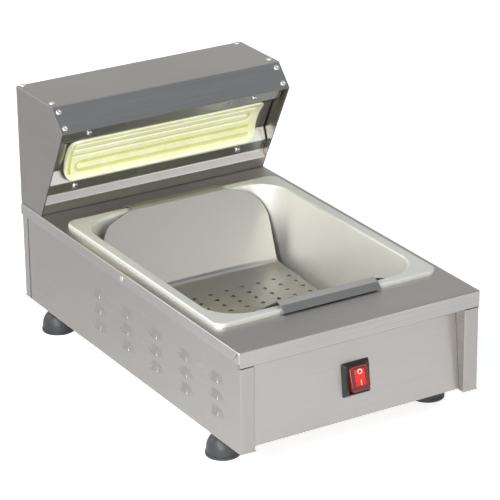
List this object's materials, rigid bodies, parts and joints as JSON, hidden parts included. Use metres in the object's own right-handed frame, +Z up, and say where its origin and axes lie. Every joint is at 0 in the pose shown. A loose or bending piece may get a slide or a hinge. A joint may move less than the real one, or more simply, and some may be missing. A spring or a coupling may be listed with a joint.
{
  "type": "fry holding station",
  "caption": "Countertop station that keeps fried food hot: a pan with a perforated insert sunk in a stainless body, under a ceramic heater in a rear hood.",
  "frame": {"origin": "centre of the object's plan, on the surface that its feet stand on", "axes": "+Z up, the front with the switch faces -Y, +X to the right seen from the front"},
  "size_m": [0.2896, 0.491, 0.2775],
  "materials": {
    "casing_steel": "brushed stainless steel",
    "pan_steel": "bright satin stainless steel",
    "insert_steel": "satin stainless steel",
    "reflector_steel": "polished stainless steel",
    "heater_ceramic": "yellow glaze",
    "spring_steel": "plain",
    "fastener_steel": "plain stainless",
    "housing_plastic": "black moulded",
    "rocker_plastic": "translucent red",
    "terminal_brass": "plain",
    "block_plastic": "moulded",
    "gland_nylon": "black nylon",
    "foot_rubber": "black rubber"
  },
  "bodies": {
    "root": {"base_plate": "casing_steel", "base_screws": "fastener_steel", "cable_gland": "gland_nylon", "ceramic_element": "heater_ceramic", "deck_rivets": "fastener_steel", "deck_top": "casing_steel", "earth_nut": "fastener_steel", "earth_stud": "fastener_steel", "element_clip": "spring_steel", "foot_bolts": "fastener_steel", "foot_nuts": "fastener_steel", "front_left_foot": "foot_rubber", "front_panel": "casing_steel", "front_right_foot": "foot_rubber", "gland_nut": "gland_nylon", "hood_cover": "casing_steel", "hood_left_cheek": "casing_steel", "hood_lower_front": "casing_steel", "hood_right_cheek": "casing_steel", "hood_rivets": "fastener_steel", "hood_screws": "fastener_steel", "left_side_panel": "casing_steel", "rear_left_foot": "foot_rubber", "rear_panel": "casing_steel", "rear_panel_screws": "fastener_steel", "rear_right_foot": "foot_rubber", "reflector": "reflector_steel", "reflector_bracket": "casing_steel", "reflector_screws": "fastener_steel", "right_side_panel": "casing_steel", "switch_housing": "housing_plastic", "switch_terminals": "terminal_brass", "terminal_block": "block_plastic"},
    "pan": {"gn_pan": "pan_steel"},
    "insert": {"drainer_insert": "insert_steel"},
    "rocker": {"switch_rocker": "rocker_plastic"}
  },
  "joints": [
    {"name": "pan_lift", "type": "slide", "parent": "root", "child": "pan", "axis": [0, -0.1045, 0.9945], "range_m": [0, 0.07]},
    {"name": "insert_tilt", "type": "hinge", "parent": "pan", "child": "insert", "pos_m": [0, 0.1425, 0.1411], "axis": [-1, 0, 0], "range_deg": [0, 25]},
    {"name": "rocker_tip", "type": "hinge", "parent": "root", "child": "rocker", "pos_m": [0, -0.23481, 0.07319], "axis": [1, 0, 0], "range_deg": [0, 24]}
  ]
}
